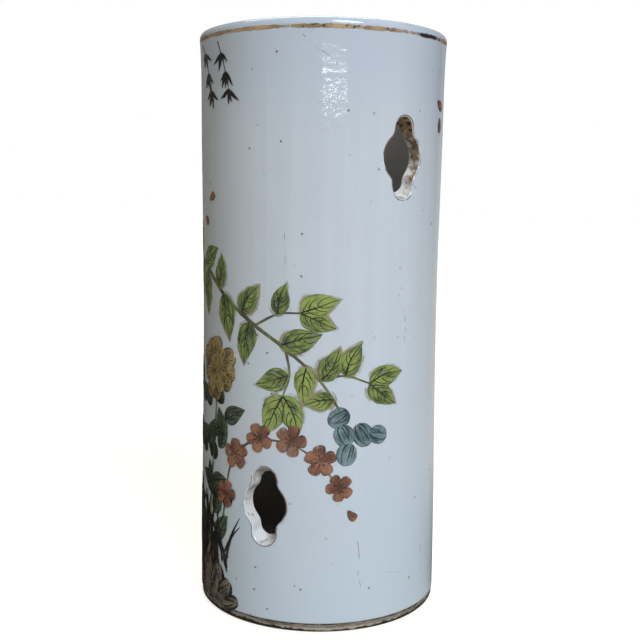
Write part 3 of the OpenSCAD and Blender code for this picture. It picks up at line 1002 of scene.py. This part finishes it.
# Old scratches from use: fine cuts in the glaze that dirt has filled to a faint brown, broken where
# the glaze is whole.
DIRT_DARK, DIRT_PALE = (0.16, 0.13, 0.09, 1), (0.30, 0.26, 0.20, 1)
SCRATCHES = [
    [(17, 277), (22, 272), (27, 269), (33, 264)], [(45, 45), (46, 36), (45.5, 28), (47, 22)],
    [(86, 34), (86.5, 27), (86, 20)], [(60, 27), (66, 26), (71, 24)], [(9, 190), (9.5, 178), (9, 170)],
    [(70, 152), (70.5, 143), (70, 138)]]
scratches = brush_lines("old_scratches", [curve_through(line, 30) for line in SCRATCHES],
                        [taper(0.16, 0.09, 30)] * len(SCRATCHES), bed=0.0, dome=0.02, ring=6)
dirt, tree, shader, place = new_material("scratch_dirt")
dress(tree, shader, Base_Color=place.noise(400.0).blend(DIRT_DARK, DIRT_PALE),
      Alpha=place.noise(330.0, 3.0).ramp(0.39, 0.60) * 0.75, Roughness=0.4)
scratches.data.materials.append(dirt)

# Stage: a white floor in a white surround, a soft light from the right front, a weaker one behind and
# warm fill. A grey card round the foot and behind the stand, seen in reflections only, darkens the
# glaze towards its edges, and a thin lit slot gives the highlight under the lip.
FLOOR_HALF = 3.0
FLOOR_COLOUR, FLOOR_GLOW = (0.45, 0.41, 0.34, 1), 0.74
FILL_COLOUR, WHITE = (0.243, 0.215, 0.16, 1), (1, 1, 1, 1)
KEY_COLOUR = (0.925, 0.985, 1.08)
LAMP_DISTANCE = 2.0


def stage_mesh(name, points, faces):
    """An object of the stage, made of points and faces."""
    mesh = bpy.data.meshes.new(name)
    mesh.from_pydata(points, [], faces)
    thing = bpy.data.objects.new(name, mesh)
    bpy.context.scene.collection.objects.link(thing)
    return thing


def stage_paint(name, thing):
    """An empty material on an object of the stage: its tree, and the socket that takes its shader."""
    paint = bpy.data.materials.new(name)
    paint.use_nodes = True
    paint.node_tree.nodes.clear()
    thing.data.materials.append(paint)
    return paint.node_tree, add(paint.node_tree, "ShaderNodeOutputMaterial").inputs["Surface"]


def seen_ray(tree):
    """1 for rays that the camera sees, straight or by gloss or glass, and 0 for those that light."""
    ray = tree.nodes.new("ShaderNodeLightPath").outputs
    straight, gloss, glass = (SurfaceValue(tree, ray[f"Is {kind} Ray"])
                              for kind in ("Camera", "Glossy", "Transmission"))
    return straight.math("MAXIMUM", straight, gloss.math("MAXIMUM", gloss, glass))


floor = stage_mesh("floor", [
    (-FLOOR_HALF, -FLOOR_HALF, 0), (FLOOR_HALF, -FLOOR_HALF, 0), (FLOOR_HALF, FLOOR_HALF, 0),
    (-FLOOR_HALF, FLOOR_HALF, 0)], [(0, 1, 2, 3)])
tree, painted = stage_paint("floor_white", floor)
matt = add(tree, "ShaderNodeBsdfDiffuse", Color=FLOOR_COLOUR).outputs[0]
glow = add(tree, "ShaderNodeEmission", Color=WHITE, Strength=seen_ray(tree) * FLOOR_GLOW).outputs[0]
fill(tree, painted, feed(tree, add(tree, "ShaderNodeAddShader"), matt, glow))

world = bpy.data.worlds.new("surround")
world.use_nodes = True
bpy.context.scene.world = world
tree = world.node_tree
dress(tree, tree.nodes["Background"], Color=seen_ray(tree).blend(FILL_COLOUR, WHITE))


def lamp(name, kind, energy, azimuth, elevation, roll=0.0, **settings):
    """A lamp turned to the middle of the stand, at an azimuth from the camera's."""
    data = bpy.data.lights.new(name, kind)
    data.energy = energy
    for key, value in settings.items():
        setattr(data, key, value)
    thing = bpy.data.objects.new(name, data)
    thing.matrix_world = facing_axis(
        CAMERA_AZIMUTH + azimuth, elevation, LAMP_DISTANCE, STAND_H / 2, roll)
    bpy.context.scene.collection.objects.link(thing)


lamp("soft_key", "SUN", energy=2.47, azimuth=25, elevation=38, angle=math.radians(26), color=KEY_COLOUR)
lamp("lit_slot", "AREA", energy=0.6, azimuth=10.2, elevation=6.85, roll=0.6,
     shape="RECTANGLE", size=0.75, size_y=0.012)
lamp("back_fill", "SUN", energy=1.8, azimuth=190, elevation=42, angle=math.radians(40))

# Radius and height of each row of the card, then its grey at these angles from the camera's side.
CARD_ANGLES = [40, 70, 100, 128, 142, 165, 195, 255, 290, 310, 330]
CARD_ROWS = [
    (0.0607, 0.0006, [1.0, 0.45, 0.05, 0.0, 0.0, 0.05, 0.02, 0.02, 0.08, 0.35, 1.0]),
    (0.30, 0.0006, [1.0, 1.0, 0.66, 0.62, 0.60, 0.58, 0.04, 0.04, 0.6, 1.0, 1.0]),
    (0.30, 0.14, [1.0, 1.0, 0.45, 0.40, 0.62, 0.56, 0.12, 0.12, 0.5, 1.0, 1.0]),
    (0.30, 0.27, [1.0, 1.0, 0.04, 0.0, 0.38, 0.30, 0.20, 0.20, 0.5, 1.0, 1.0]),
    (0.30, 0.60, [1.0, 1.0, 0.0, 0.0, 0.38, 0.30, 0.25, 0.20, 0.5, 1.0, 1.0])]
CARD_COLUMNS = 74
CARD_TINT = (1.0, 0.985, 0.96, 1)
card_angle = np.linspace(CARD_ANGLES[0], CARD_ANGLES[-1], CARD_COLUMNS)
card_turn = np.radians(CAMERA_AZIMUTH + card_angle)
card_points = np.stack([round_axis(card_turn, r, z) for r, z, _ in CARD_ROWS])
card_grey = np.stack([np.interp(card_angle, CARD_ANGLES, grey) for _, _, grey in CARD_ROWS])
first = np.arange(len(CARD_ROWS) - 1)[:, None] * CARD_COLUMNS + np.arange(CARD_COLUMNS - 1)
card_faces = np.stack([first, first + 1, first + CARD_COLUMNS + 1, first + CARD_COLUMNS], axis=-1)
card = stage_mesh("grey_card", card_points.reshape(-1, 3).tolist(), card_faces.reshape(-1, 4).tolist())
card.data.attributes.new("grey", "FLOAT", "POINT").data.foreach_set(
    "value", card_grey.ravel().astype(np.float32))
card.visible_camera = card.visible_diffuse = card.visible_transmission = card.visible_shadow = False
tree, painted = stage_paint("card_grey", card)
glow = add(tree, "ShaderNodeEmission", Color=CARD_TINT, Strength=value_of(tree, "grey"))
fill(tree, painted, glow.outputs[0])

bpy.context.scene.view_settings.view_transform = "Standard"
